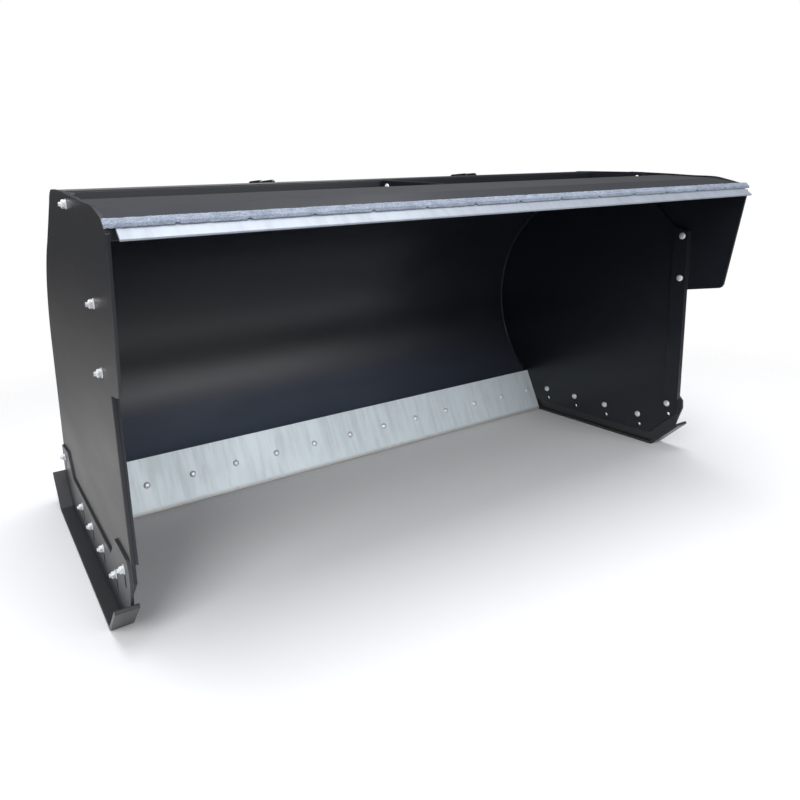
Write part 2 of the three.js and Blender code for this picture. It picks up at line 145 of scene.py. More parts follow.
class StageSettings(bpy.types.PropertyGroup):
    """Camera and light."""
    eye: FloatVectorProperty(name="Eye", description="Place of the camera",
                             default=(-1.5296, -2.1402, 1.1846),
                             subtype="TRANSLATION", unit="LENGTH")
    yaw: FloatProperty(name="Yaw", description="Turn from +Y towards +X", default=0.4957, subtype="ANGLE")
    pitch: FloatProperty(name="Pitch", description="Tilt below level", default=0.2068, subtype="ANGLE")
    roll: FloatProperty(name="Roll", description="Turn about the line of sight",
                        default=-0.0524, subtype="ANGLE")
    lens: FloatProperty(name="Focal length", description="On a 36 mm sensor", default=29.355, unit="CAMERA")
    shift: FloatVectorProperty(name="Shift", description="Shift of the frame",
                               default=(0.1126, -0.0759), size=2)
    key: FloatProperty(name="Key light", description="Power of the left softbox", default=110.0, unit="POWER")
    fill: FloatProperty(name="Front light", description="Power of the front softbox",
                        default=95.0, unit="POWER")
    overhead: FloatProperty(name="Overhead", description="Power of the top softbox",
                            default=230.0, unit="POWER")


class PusherSettings(bpy.types.PropertyGroup):
    """Everything a user would change."""
    plate: PointerProperty(type=PlateSettings)
    fastener: PointerProperty(type=FastenerSettings)
    weld: PointerProperty(type=WeldSettings)
    edging: PointerProperty(type=EdgingSettings)
    finish: PointerProperty(type=FinishSettings)
    stage: PointerProperty(type=StageSettings)


# ---- shader maths ---------------------------------------------------------------------

class Signal:
    """A node's number output; Python's arithmetic on it adds Math nodes."""

    def __init__(self, finish, socket):
        self.finish = finish
        self.socket = socket

    def math(self, operation, *others):
        sockets = dict(enumerate((self, *others)))
        return self.finish.node("ShaderNodeMath", {"operation": operation}, sockets)

    def __add__(self, other):
        return self.math("ADD", other)

    __radd__ = __add__

    def __mul__(self, other):
        return self.math("MULTIPLY", other)

    __rmul__ = __mul__

    def __sub__(self, other):
        return self.math("SUBTRACT", other)

    def __rsub__(self, other):
        return self.finish.node("ShaderNodeMath", {"operation": "SUBTRACT"}, {0: other, 1: self})

    def step(self, low, high):
        """0 below low, 1 above high, smooth between them."""
        settings = {"interpolation_type": "SMOOTHSTEP"}
        sockets = {"Value": self, "From Min": low, "From Max": high}
        return self.finish.node("ShaderNodeMapRange", settings, sockets)


class Finish:
    """The nodes of a material, or of a world, under construction."""

    def __init__(self, name, owner=None):
        self.material = owner or bpy.data.materials.new(name)
        self.material.use_nodes = True
        self.tree = self.material.node_tree
        self.tree.nodes.clear()
        self.object_coordinates = self.node("ShaderNodeTexCoord", output="Object")

    def node(self, kind, settings=None, sockets=None, output=0):
        """Adds a node: its settings first, then the values or links of its sockets."""
        node = self.tree.nodes.new(kind)
        for key, value in (settings or {}).items():
            if key == "stops":
                self.set_stops(node.color_ramp, value)
            else:
                setattr(node, key, value)
        for key, value in (sockets or {}).items():
            if isinstance(value, Signal):
                self.tree.links.new(value.socket, node.inputs[key])
            else:
                node.inputs[key].default_value = value
        return Signal(self, node.outputs[output])

    @staticmethod
    def set_stops(ramp, stops):
        while len(ramp.elements) < len(stops):
            ramp.elements.new(0.5)
        for element, (position, shade) in zip(ramp.elements, stops):
            element.position = position
            element.color = (*shade, 1.0) if len(shade) == 3 else shade

    def stretched(self, scale, turn=(0.0, 0.0, 0.0)):
        """Object coordinates, turned and scaled per axis."""
        return self.node("ShaderNodeMapping", None,
                         {"Vector": self.object_coordinates, "Scale": scale, "Rotation": turn})

    def noise(self, scale, detail=2.0, roughness=0.5, vector=None):
        """Fractal noise; scale is in waves per metre."""
        sockets = {"Vector": vector or self.object_coordinates, "Scale": scale, "Detail": detail,
                   "Roughness": roughness}
        return self.node("ShaderNodeTexNoise", None, sockets, output="Fac")

    def cells(self, scale, vector=None):
        """Distance to the nearest cell centre."""
        sockets = {"Vector": vector or self.object_coordinates, "Scale": scale}
        return self.node("ShaderNodeTexVoronoi", None, sockets, output="Distance")

    def place(self, axis):
        """One of the object coordinates."""
        return self.node("ShaderNodeSeparateXYZ", None, {0: self.object_coordinates}, output=axis)

    def mix(self, amount, first, second):
        """Colour between first and second."""
        wide = [value if isinstance(value, Signal) else (*value, 1.0) for value in (first, second)]
        ends = {"Factor": amount, "A": wide[0], "B": wide[1]}
        return self.node("ShaderNodeMix", {"data_type": "RGBA"}, ends, 2)

    def bump(self, height, distance, strength=1.0):
        """Normal of a surface raised by height, which runs from 0 to 1 over distance."""
        sockets = {"Height": height, "Distance": distance, "Strength": strength}
        return self.node("ShaderNodeBump", None, sockets)

    def principled(self, **sockets):
        """A Principled BSDF; underscores in names stand for spaces."""
        named = {key.replace("_", " "): value for key, value in sockets.items()}
        named = {key: (*value, 1.0) if isinstance(value, tuple) and len(value) == 3 else value
                 for key, value in named.items()}
        return self.node("ShaderNodeBsdfPrincipled", None, named)

    def surface(self, **sockets):
        """Ends the material in a Principled BSDF."""
        self.node_output(self.principled(**sockets))
        return self.material

    def node_output(self, shader, kind="ShaderNodeOutputMaterial"):
        target = self.tree.nodes.new(kind)
        self.tree.links.new(shader.socket, target.inputs["Surface"])


# ---- finishes -------------------------------------------------------------------------

def settings():
    return bpy.context.scene.snow_pusher


def cached(make):
    """Calls make once for each set of arguments."""
    made = {}

    def get(*key):
        if key not in made:
            made[key] = make(*key)
        return made[key]
    return get


@cached
def black_enamel(grime_and_reflection=0.0, outer=0.0, seam=None):
    """Black enamel: faint orange peel, slow waves of the sheet, faint random grime and painted reflections.

    The first argument is the most of a brownish tone that fades upwards: a painted reflection of the ground
    with a little grime; with outer set it lies only on faces at least that far from the middle. seam is the
    height of a weld behind the sheet, which shows through as a soft ridge. From a little above it down to the
    foot, a painted bluish reflection of sky light is laid on the sheet, most at the left.
    """
    values = settings().finish
    paint = Finish("black_enamel" + ("_dusty" if grime_and_reflection else "") + ("_seamed" if seam else ""))
    peel = paint.noise(240.0, 2.0)
    sheet = paint.noise(2.2, 1.0)
    wipes = paint.noise(3.0, 4.0, 0.55, paint.stretched((0.5, 0.5, 2.0), (0.3, 0.2, 0.1)))
    film = wipes.step(0.30, 0.75)
    grime_and_reflection_share = film * 0.02
    # Painted reflection: a brownish tone that fades upwards stands in for the ground reflected in clean
    # paint; the random film adds a little grime.
    if grime_and_reflection:
        reflection_fade_up = 1.0 - paint.place("Z").step(0.62, 1.12) * 0.85
        grime_and_reflection_share = (film * 0.16 + 0.84) * reflection_fade_up * grime_and_reflection
    if outer:
        grime_and_reflection_share = grime_and_reflection_share * paint.place("X").math("ABSOLUTE").step(outer - 3.0 * MM, outer - 1.0 * MM)
    waves = sheet
    if seam:
        offset = (paint.place("Z") - seam).math("ABSOLUTE")
        waves = waves + (1.0 - offset.step(0.0, 0.006)) * 0.16
    rolled = paint.node("ShaderNodeBump", None, {"Height": waves, "Distance": 2.0 * MM, "Strength": 0.3,
                                                 "Normal": paint.bump(peel, 0.10 * MM, values.orange_peel)})
    ground = tuple(values.black)
    if seam:
        # Painted reflection: from a little above the seam down to the foot the black turns bluish, most at
        # the left, in place of reflected sky light.
        foot = 1.0 - paint.place("Z").step(seam - 0.06, seam + 0.22)
        painted_sky_reflection = foot * (1.0 - paint.place("X").step(-0.6, 1.2) * 0.75) * (film * 0.2 + 0.8)
        ground = paint.mix(painted_sky_reflection, ground, tuple(values.sky_reflection_tint))
    return paint.surface(
        Base_Color=paint.mix(grime_and_reflection_share, ground, tuple(values.reflection_and_grime_tone)),
        Roughness=film * 0.06 + grime_and_reflection_share * 0.22 + values.paint_roughness,
        Normal=rolled,
        IOR=1.47,
    )


@cached
def zinc_plate():
    """Bright zinc: fine grain and a cloudy tarnish."""
    values = settings().finish
    zinc = Finish("zinc_plate")
    cloud = zinc.noise(75.0, 4.0)
    grain = zinc.noise(1900.0, 2.0)
    return zinc.surface(
        Base_Color=zinc.mix(cloud.step(0.35, 0.80), tuple(values.zinc), (0.66, 0.69, 0.72)),
        Roughness=cloud * 0.16 + grain * 0.08 + 0.20,
        Metallic=0.35,
        Normal=zinc.bump(grain + cloud, 0.04 * MM, 0.5),
    )


@cached
def blade_plate(browned=0.0):
    """Plated blade steel: faint upright streaks and clouds; the cutting edge has a brown foot."""
    values = settings().finish
    steel = Finish("blade_plate" if browned else "lip_plate")
    cloud = steel.noise(4.0, 4.0, 0.5)
    streaks = steel.noise(9.0, 4.0, 0.6, steel.stretched((4.0, 1.0, 0.25)))
    grain = steel.noise(700.0, 2.0)
    base = tuple(values.blade if browned else values.lip)
    worn = tuple(0.84 * part for part in base)
    clean = steel.mix((streaks * 0.7 + cloud * 0.3).step(0.40, 0.68), base, worn)
    foot = (1.0 - (steel.place("Z") + streaks * 0.016).step(0.012, 0.034)) * browned
    return steel.surface(
        Base_Color=steel.mix(foot, clean, (0.30, 0.24, 0.19)),
        Roughness=cloud * 0.12 + streaks * 0.12 + grain * 0.06 + 0.26,
        Metallic=0.2,
        Normal=steel.bump(streaks * 0.4 + grain * 0.5 + cloud, 0.06 * MM, 0.4),
    )


@cached
def rough_edging():
    """Rough, finely speckled strip; the bluish tones of its light and dark specks are a painted sheen of sky
    light on a dark strip.
    """
    values = settings().finish
    strip = Finish("rough_edging")
    crumbs = strip.noise(330.0, 4.0, 0.7)
    pits = strip.cells(230.0)
    patches = strip.noise(24.0, 3.0)
    # Painted sheen: the specks' bluish tones stand in for sky light caught by the rough dark strip.
    light = (crumbs * 0.85 + patches * 0.25).step(0.38, 0.72)
    return strip.surface(
        Base_Color=strip.mix(light, tuple(values.edging_sheen_dark), tuple(values.edging_sheen_light)),
        Roughness=0.80 - light * 0.15,
        Normal=strip.bump(crumbs + pits * 0.4, 0.6 * MM, 0.7),
    )


@cached
def studio_floor():
    """Pale matt floor with a barely visible mottle, clear beyond a ring around the object."""
    values = settings().finish
    floor = Finish("studio_floor")
    mottle = floor.noise(3.0, 4.0)
    pale = tuple(values.floor)
    east, north = floor.place("X"), floor.place("Y")
    body = floor.principled(
        Base_Color=floor.mix(mottle * 0.3, pale, tuple(0.97 * part for part in pale)),
        Roughness=0.62 + mottle * 0.2,
        Normal=floor.bump(mottle, 0.4 * MM, 0.1),
    )
    fade = (east * east + north * north).math("SQRT").step(*FLOOR_FADE)
    floor.node_output(floor.node("ShaderNodeMixShader", None,
                                 {0: fade, 1: body, 2: floor.node("ShaderNodeBsdfTransparent")}))
    return floor.material


# ---- meshes ---------------------------------------------------------------------------

def add_piece(name, body, material, shells, nodes=()):
    """One object from shells of (points, faces, normals or None); it rides on body and stands for nodes."""
    points, faces, normals, start = [], [], [], 0
    for shell_points, shell_faces, shell_normals in shells:
        points.append(shell_points)
        faces.extend([[start + int(i) for i in face] for face in shell_faces])
        normals.append(shell_normals if shell_normals is not None else np.zeros_like(shell_points))
        start += len(shell_points)
    mesh = bpy.data.meshes.new(name)
    mesh.from_pydata(np.concatenate(points), [], faces)
    mesh.update()
    mesh.shade_smooth()
    mesh.set_sharp_from_angle(angle=math.radians(38.0))
    stacked = np.concatenate(normals)
    if np.any(stacked):
        mesh.normals_split_custom_set_from_vertices(stacked)
    mesh.materials.append(material)
    piece = bpy.data.objects.new(name, mesh)
    bpy.context.scene.collection.objects.link(piece)
    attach(piece, body)
    if nodes:
        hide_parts(*nodes)
    return piece


def grid_faces(rows, columns, wrap=True, start=0):
    """Quads of a grid of points stored row by row; the columns close on themselves if wrap."""
    row = np.arange(rows - 1)[:, None] * columns
    column = np.arange(columns if wrap else columns - 1)[None, :]
    after = (column + 1) % columns
    quads = np.stack([row + column, row + after, row + columns + after, row + columns + column], -1)
    return (quads.reshape(-1, 4) + start).tolist()


def unit(vectors):
    """Vectors scaled to length 1."""
    return vectors / np.maximum(np.linalg.norm(vectors, axis=-1, keepdims=True), 1e-12)


def node_mesh(node):
    """A CAD node's merged points and its triangles, as arrays."""
    mesh = frame["nodes"][node].data
    points = np.empty(len(mesh.vertices) * 3)
    mesh.vertices.foreach_get("co", points)
    mesh.calc_loop_triangles()
    triangles = np.empty(len(mesh.loop_triangles) * 3, dtype=np.int64)
    mesh.loop_triangles.foreach_get("vertices", triangles)
    points, index = np.unique(np.round(points.reshape(-1, 3), 5), axis=0, return_inverse=True)
    return points, index.ravel()[triangles].reshape(-1, 3)


def triangle_normals(points, triangles):
    """Cross products of each triangle's sides: twice its area, along its normal."""
    a, b, c = (points[triangles[:, i]] for i in range(3))
    return np.cross(b - a, c - a)


def broad_normal(node):
    """Normal of the node's largest flat face, turned to the upper half-space."""
    points, triangles = node_mesh(node)
    normals = triangle_normals(points, triangles)
    areas = np.linalg.norm(normals, axis=1)
    keys, index = np.unique(np.round(unit(normals), 3), axis=0, return_inverse=True)
    totals = np.bincount(index.ravel(), areas)
    best = keys[np.argmax(totals)]
    normal = unit(normals[(unit(normals) @ unit(best)) > 0.9999].sum(axis=0))
    return normal if normal[2] > -1e-6 else -normal


def basis(axis):
    """Two vectors that make a right-handed set with axis."""
    first = np.cross((0.0, 0.0, 1.0), axis) if abs(axis[2]) < 0.9 else np.array(AXIS_X)
    first = unit(first - axis * (first @ axis))
    return first, np.cross(axis, first)


def section(node, axis):
    """Outlines of the node's end face along axis, with the metal on their left, and both ends' heights."""
    points, triangles = node_mesh(node)
    heights = points @ axis
    across = basis(axis)
    facing = unit(triangle_normals(points, triangles)) @ axis > 0.999
    top = np.abs(heights[triangles].min(axis=1) - heights.max()) < 0.00005
    cap = triangles[facing & top]
    edges = np.concatenate([cap[:, (0, 1)], cap[:, (1, 2)], cap[:, (2, 0)]])
    forward = {(int(a), int(b)) for a, b in edges}
    follow = {a: b for a, b in forward if (b, a) not in forward}
    loops = []
    while follow:
        at, after = follow.popitem()
        loop = [at]
        while after != loop[0]:
            loop.append(after)
            after = follow.pop(after)
        flat = np.stack([points[loop] @ across[0], points[loop] @ across[1]], axis=1)
        loops.append(flat[np.abs(turns(flat)[0]) > math.radians(0.05)])
    return loops, heights.min(), heights.max()


def turns(loop):
    """Turn at each corner of a loop, with the unit directions and lengths in and out."""
    into = loop - np.roll(loop, 1, axis=0)
    out = np.roll(loop, -1, axis=0) - loop
    long_in, long_out = np.linalg.norm(into, axis=1), np.linalg.norm(out, axis=1)
    into, out = unit(into), unit(out)
    cross = into[:, 0] * out[:, 1] - into[:, 1] * out[:, 0]
    return np.arctan2(cross, (into * out).sum(axis=1)), into, out, long_in, long_out


def right_of(directions):
    """Unit normals to the right of directions, which point away from the metal."""
    return np.stack([directions[..., 1], -directions[..., 0]], axis=-1)


def fair_outline(loop, crease, corner, sheet=0.0, end=0.0):
    """A loop's points and normals with rounded corners and fair curves.

    A corner that turns more than crease becomes an arc: its radius is corner, plus sheet on the outside of a
    bend, or end next to a sheet's own end. Between gentler points the line is a cubic Hermite curve whose
    tangents are the mean of the two neighbouring directions, weighted by their lengths.
    """
    turn, into, out, long_in, long_out = turns(loop)
    sharp = np.abs(turn) > crease
    radius = np.where(turn > 0, corner + sheet, corner)
    if sheet:
        radius = np.where(np.minimum(long_in, long_out) < 1.5 * sheet, end, radius)
    reach = np.minimum(radius * np.tan(np.abs(turn) / 2), 0.45 * np.minimum(long_in, long_out)) * sharp
    mean = unit(into * long_in[:, None] + out * long_out[:, None])
    points, normals = [], []
    count = len(loop)
    for i in range(count):
        j = (i + 1) % count
        if sharp[i]:
            steps = max(3, math.ceil(abs(turn[i]) / math.radians(11)) + 1)
            angles = np.linspace(0.0, turn[i], steps)[:, None]
            side = right_of(into[i])
            true_radius = reach[i] / math.tan(abs(turn[i]) / 2)
            normal = np.cos(angles) * side + np.sin(angles) * into[i]
            centre = loop[i] - into[i] * reach[i] - side * true_radius * np.sign(turn[i])
            points.append(centre + normal * true_radius * np.sign(turn[i]))
            normals.append(normal)
        else:
            points.append(loop[i][None])
            normals.append(right_of(mean[i])[None])
        start = loop[i] + out[i] * reach[i]
        stop = loop[j] - into[j] * reach[j]
        begin = out[i] if sharp[i] else mean[i]
        finish = into[j] if sharp[j] else mean[j]
        if min(begin @ out[i], finish @ out[i]) < 0.99999:
            span = np.linalg.norm(stop - start)
            t = np.linspace(0.0, 1.0, 8)[1:-1, None]
            curve = ((2 * t**3 - 3 * t**2 + 1) * start + (t**3 - 2 * t**2 + t) * span * begin
                     + (3 * t**2 - 2 * t**3) * stop + (t**3 - t**2) * span * finish)
            slope = ((6 * t**2 - 6 * t) * start + (3 * t**2 - 4 * t + 1) * span * begin
                     + (6 * t - 6 * t**2) * stop + (3 * t**2 - 2 * t) * span * finish)
            points.append(curve)
            normals.append(right_of(unit(slope)))
    return np.concatenate(points), np.concatenate(normals)


def prism_shell(outlines, low, high, axis, edge):
    """Outlines carried along axis from low to high, with edges rounded to a quarter circle.

    Across the thickness the wall follows an angle from -90 to 90 degrees: its inset is edge * (1 - cos) and
    its height leaves each face by edge * (1 - |sin|). The two faces are filled between the inset outlines.
    """
    across = np.stack(basis(axis))
    quarter = np.radians((0.0, 30.0, 60.0, 90.0))
    angle = np.concatenate([-quarter[::-1], quarter])
    height = np.where(np.arange(8) < 4, low + edge * (1 + np.sin(angle)), high - edge * (1 - np.sin(angle)))
    inset = edge * (1 - np.cos(angle))
    points, normals, faces, rings, start = [], [], [], [], 0
    for line, side in outlines:
        flat = (line[None] - side[None] * inset[:, None, None]) @ across
        points.append((flat + height[:, None, None] * axis).reshape(-1, 3))
        normal = (side @ across)[None] * np.cos(angle)[:, None, None] + axis * np.sin(angle)[:, None, None]
        normals.append(normal.reshape(-1, 3))
        faces += grid_faces(len(angle), len(line), True, start)
        rings.append((start, len(line), line - side * inset[0]))
        start += len(line) * len(angle)
    fill = tessellate_polygon([[Vector((*point, 0.0)) for point in ring[2]] for ring in rings])
    flat = np.concatenate([ring[2] for ring in rings])
    bottom = np.concatenate([ring[0] + np.arange(ring[1]) for ring in rings])
    top = np.concatenate([ring[0] + (len(angle) - 1) * ring[1] + np.arange(ring[1]) for ring in rings])
    for triangle in fill:
        a, b, c = flat[list(triangle)]
        area = (b[0] - a[0]) * (c[1] - a[1]) - (b[1] - a[1]) * (c[0] - a[0])
        order = list(triangle) if area > 0 else list(triangle)[::-1]
        faces.append(top[order].tolist())
        faces.append(bottom[order[::-1]].tolist())
    return np.concatenate(points), faces, np.concatenate(normals)


def fair_plate(node, material, axis=None, corner=None, sheet=0.0, crease=14.0, edge=None):
    """The finished form of a CAD plate or bent sheet: same section, rounded edges, true arcs and bends."""
    sizes = settings().plate
    axis = broad_normal(node) if axis is None else axis
    loops, low, high = section(node, axis)
    loops.sort(key=lambda loop: -np.ptp(loop, axis=0).max())
    corner = (sizes.bend if sheet else sizes.corner) if corner is None else corner
    thin = sheet if sheet else high - low
    edge = min(sizes.edge if edge is None else edge, 0.35 * thin)
    outlines = []
    for i, loop in enumerate(loops):
        round_hole = i > 0 and len(loop) > 9
        limit = math.pi if round_hole else math.radians(crease)
        outlines.append(fair_outline(loop, limit, corner, sheet, 0.42 * sheet))
    shell = prism_shell(outlines, low, high, axis, edge)
    return add_piece(node + "_finished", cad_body(node), material, [shell], [node])


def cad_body(node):
    """Name of the body that holds a CAD node."""
    for name, members in frame["record"]["behaviour"]["bodies"].items():
        if node in members:
            return name
    raise RuntimeError(f"no body holds {node}")


# ---- fasteners ------------------------------------------------------------------------

def turned(radius, height, centre, axis):
    """A surface of revolution about axis: radius is an array (rows, steps) of distances from it and height
    a column of distances along it; its first and last rows close to a point on the axis."""
    rows, steps = radius.shape
    first, second = basis(axis)
    angle = np.linspace(0.0, 2 * math.pi, steps, endpoint=False)[None, :, None]
    ring = radius[..., None] * (np.cos(angle) * first + np.sin(angle) * second) + height[:, None, None] * axis
    ends = np.stack([height[0] * axis, height[-1] * axis])
    points = np.concatenate([ring.reshape(-1, 3), ends]) + centre
    faces = [face[::-1] for face in grid_faces(rows, steps)]
    around = np.arange(steps)
    after = (around + 1) % steps
    last = (rows - 1) * steps
    faces += np.stack([np.full(steps, rows * steps), around, after], 1).tolist()
    faces += np.stack([np.full(steps, rows * steps + 1), last + after, last + around], 1).tolist()
    return points, faces, None


def bolt_shell(sizes, top, foot, nut_top, centre, axis):
    """Domed head, plain shank, and a thread outside the nut: its radius falls and rises once each pitch
    along the helix height / pitch + angle / (2 pi)."""
    rise = np.linspace(0.04, 1.0, 9)
    dome_radius = sizes.head * np.sin(rise * math.pi / 2)
    dome_height = top - (sizes.head_height * 0.86) * (1 - np.cos(rise * math.pi / 2))
    under = top - sizes.head_height
    lip_radius = np.array((sizes.head, sizes.head * 0.985, sizes.shank * 1.02))
    lip_height = np.array((under + 0.0004, under, under))
    thread_height = np.linspace(nut_top + 0.5 * MM, foot + 0.9 * MM, 30)
    tip_height = np.array((foot + 0.2 * MM, foot))
    tip_radius = sizes.shank * np.array((0.84, 0.74))
    height = np.concatenate([dome_height, lip_height, thread_height, tip_height])
    steps = 32
    angle = np.linspace(0.0, 2 * math.pi, steps, endpoint=False)[None]
    phase = thread_height[:, None] / sizes.pitch + angle / (2 * math.pi)
    ridge = np.abs((phase % 1.0) * 2 - 1)
    thread = sizes.shank * (0.86 + 0.14 * np.clip(ridge * 1.3, 0.0, 1.0))
    plain = np.concatenate([dome_radius, lip_radius])[:, None] * np.ones((1, steps))
    tip = tip_radius[:, None] * np.ones((1, steps))
    return turned(np.concatenate([plain, thread, tip]), height, centre, axis)


def nut_shell(sizes, low, high, centre, axis):
    """Hexagon cut by a cone at both faces, with a low round crown.

    The radius is the smaller of the hexagon's, apothem / cos(angle from the flat's middle), and the cone's.
    """
    crown = low + 0.16 * (high - low)
    steps = 72
    angle = np.linspace(0.0, 2 * math.pi, steps, endpoint=False)[None]
    from_flat = (angle + math.pi / 6) % (math.pi / 3) - math.pi / 6
    hexagon = sizes.nut * math.cos(math.pi / 6) / np.cos(from_flat)
    bevel = np.array((1.4, 0.9, 0.45, 0.0, 0.0, 0.45, 0.9, 1.4)) * MM
    body_height = np.concatenate([
        np.linspace(high, high - 1.0 * MM, 4), np.linspace(crown + 1.0 * MM, crown, 4)])
    body = np.minimum(hexagon, sizes.nut - bevel[:, None])
    bend = np.linspace(0.0, math.pi / 2, 6)
    ring = sizes.nut * math.cos(math.pi / 6) * 0.93
    crown_radius = ring - 2.2 * MM * (1 - np.cos(bend))
    crown_height = crown - (crown - low - 0.5 * MM) * np.sin(bend) - 0.2 * MM
    bore = sizes.shank * 0.99
    radius = np.concatenate([
        np.full((1, steps), bore), body, np.ones((1, steps)) * ring,
        crown_radius[:, None] * np.ones((1, steps)), np.full((2, steps), bore)])
    height = np.concatenate([[high], body_height, [crown], crown_height, [low + 0.3 * MM, low + 1.5 * MM]])
    return turned(radius, height, centre, axis)


def flange_shell(sizes, low, high, centre, axis):
    """The nut's flange: an upright rim at the plate, then a slightly hollow cone up to the hexagon."""
    bend = np.linspace(0.0, 1.0, 6)
    cone = sizes.flange + (sizes.nut * 0.90 - sizes.flange) * bend**0.8
    slope = high - (high - low) * (0.35 + 0.65 * bend)
    bore = sizes.shank * 0.99
    radius = np.concatenate([[bore, sizes.flange - 0.3 * MM, sizes.flange], cone, [bore]])
    height = np.concatenate([[high, high, high - 0.3 * MM], slope, [low]])
    return turned(radius[:, None] * np.ones((1, 40)), height, centre, axis)


def fastener(node, axis):
    """A carriage bolt and flange nut in place of a CAD fastener, whose head points along axis."""
    sizes = settings().fastener
    points, _ = node_mesh(node)
    heights = points @ axis
    first, second = basis(axis)
    middle = [(points @ way).min() / 2 + (points @ way).max() / 2 for way in (first, second)]
    centre = middle[0] * first + middle[1] * second
    foot = heights.min()
    nut_low = foot + sizes.thread_out
    nut_high = nut_low + sizes.nut_height
    shells = [
        bolt_shell(sizes, heights.max(), foot, nut_low + 1.5 * MM, centre, axis),
        nut_shell(sizes, nut_low, nut_high, centre, axis),
        flange_shell(sizes, nut_high, nut_high + sizes.flange_thickness, centre, axis),
    ]
    return add_piece(node + "_finished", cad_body(node), zinc_plate(), shells, [node])


# ---- welds ----------------------------------------------------------------------------

def bead_shell(path, first, second, leg):
    """A fillet weld along path, between walls that run from it along first and second.

    Its face is a straight line between the two leg ends, raised by sin(pi t) / 4 of a leg. Along the path the
    size swells with |sin| once each ripple, the ripples lean forward at mid-face, and both ends taper.
    """
    sizes = settings().weld
    step = np.linalg.norm(np.diff(path, axis=0), axis=1)
    along = np.concatenate([[0.0], np.cumsum(step)])
    total = along[-1]
    rows = max(12, int(total / sizes.ripple * 4))
    place = np.linspace(0.0, total, rows)
    line = np.stack([np.interp(place, along, path[:, i]) for i in range(3)], axis=1)
    walls = [np.stack([np.interp(place, along, np.broadcast_to(wall, path.shape)[:, i]) for i in range(3)], 1)
             for wall in (first, second)]
    t = np.linspace(0.0, 1.0, 9)
    lean = place[:, None] + 0.35 * sizes.ripple * np.sin(math.pi * t)[None]
    ripple = np.abs(np.sin(math.pi * lean / sizes.ripple))
    drift = 1.0 + 0.07 * np.sin(place / 0.031) + 0.05 * np.sin(place / 0.0127)
    taper = np.sqrt(np.clip(np.minimum(place, total - place) / leg, 0.02, 1.0))
    size = (leg * drift * taper)[:, None]
    swell = 0.25 * np.sin(math.pi * t)[None] + sizes.relief * ripple * np.sin(math.pi * t)[None]
    out = unit(walls[0] + walls[1])
    face = (line[:, None] + size[..., None] * ((1 - t)[None, :, None] * walls[0][:, None]
                                               + t[None, :, None] * walls[1][:, None])
            + (size * swell)[..., None] * out[:, None])
    points = np.concatenate([face, line[:, None]], axis=1)
    columns = points.shape[1]
    faces = grid_faces(rows, columns)
    caps = [list(range(columns))[::-1], list(range((rows - 1) * columns, rows * columns))]
    forward = line[1] - line[0]
    if np.cross(walls[0][0], walls[1][0]) @ forward < 0:
        faces = [face_[::-1] for face_ in faces]
        caps = [cap[::-1] for cap in caps]
    return points.reshape(-1, 3), faces + caps, None


def weld(name, body, runs):
    """One piece holding the beads of runs, each (path, first wall, second wall, leg)."""
    shells = [bead_shell(np.asarray(path, float), np.asarray(first, float), np.asarray(second, float), leg)
              for path, first, second, leg in runs]
    return add_piece(name, body, black_enamel(), shells)


def concave_run(node):
    """Points and inward normals of the longest hollow arc in a node's Y-Z section, from its foot."""
    loops, _, _ = section(node, AXIS_X)
    loop = max(loops, key=lambda one: np.ptp(one, axis=0).max())
    line, side = fair_outline(loop, math.radians(14.0), 0.5 * MM)
    turn = turns(line)[0]
    hollow = (turn < -1e-4) & (np.abs(turn) < math.radians(8.0))
    order = np.roll(np.arange(len(line)), -int(np.flatnonzero(~hollow)[0]))
    stretches = np.split(order, np.flatnonzero(np.diff(hollow[order].astype(int))) + 1)
    arcs = [stretch for stretch in stretches if hollow[stretch[0]]]
    longest = max(arcs, key=lambda arc: np.ptp(line[arc], axis=0).max())
    run = longest[np.argsort(line[longest, 1])]
    across = np.stack(basis(AXIS_X))
    return line[run] @ across, side[run] @ across


def outer_face(node):
    """Distance of a left-hand node's outer face from the middle."""
    return round(-float(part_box(node)[0][0]), 4)


# ---- operators ------------------------------------------------------------------------

class PUSHER_OT_moldboard(bpy.types.Operator):
    """Curved moldboard, closing panel and the folded channel behind the blade"""
    bl_idname = "snow_pusher.moldboard"
    bl_label = "Moldboard"

    def execute(self, context):
        seam = round(float(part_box("lower_channel")[1][2]), 4)
        # The seam height also places the painted bluish sky reflection on the moldboard's lower part.
        fair_plate("moldboard", black_enamel(0.0, 0.0, seam), axis=AXIS_X, sheet=SHEET, corner=1.0 * MM)
        fair_plate("top_panel", black_enamel(), axis=AXIS_X, sheet=PANEL, corner=1.0 * MM)
        fair_plate("lower_channel", black_enamel(), axis=AXIS_X, sheet=SHEET)
        return {"FINISHED"}


class PUSHER_OT_rear_frame(bpy.types.Operator):
    """Top tube, centre brace and ribs"""
    bl_idname = "snow_pusher.rear_frame"
    bl_label = "Rear frame"

    def execute(self, context):
        fair_plate("rear_top_tube", black_enamel(), axis=AXIS_X, sheet=SHEET)
        fair_plate("centre_brace", black_enamel(), corner=2.0 * MM)
        for word, _ in SIDES:
            for number in (1, 2):
                fair_plate(f"{word}_rib_{number}", black_enamel())
        return {"FINISHED"}


class PUSHER_OT_coupler(bpy.types.Operator):
    """Loader coupler: plate, hook and lock-pin ledge"""
    bl_idname = "snow_pusher.coupler"
    bl_label = "Coupler"

    def execute(self, context):
        fair_plate("coupler_plate", black_enamel(), corner=9.0 * MM)
        fair_plate("coupler_hook", black_enamel(), axis=AXIS_X, corner=1.5 * MM)
        fair_plate("coupler_ledge", black_enamel(), corner=3.0 * MM)
        return {"FINISHED"}


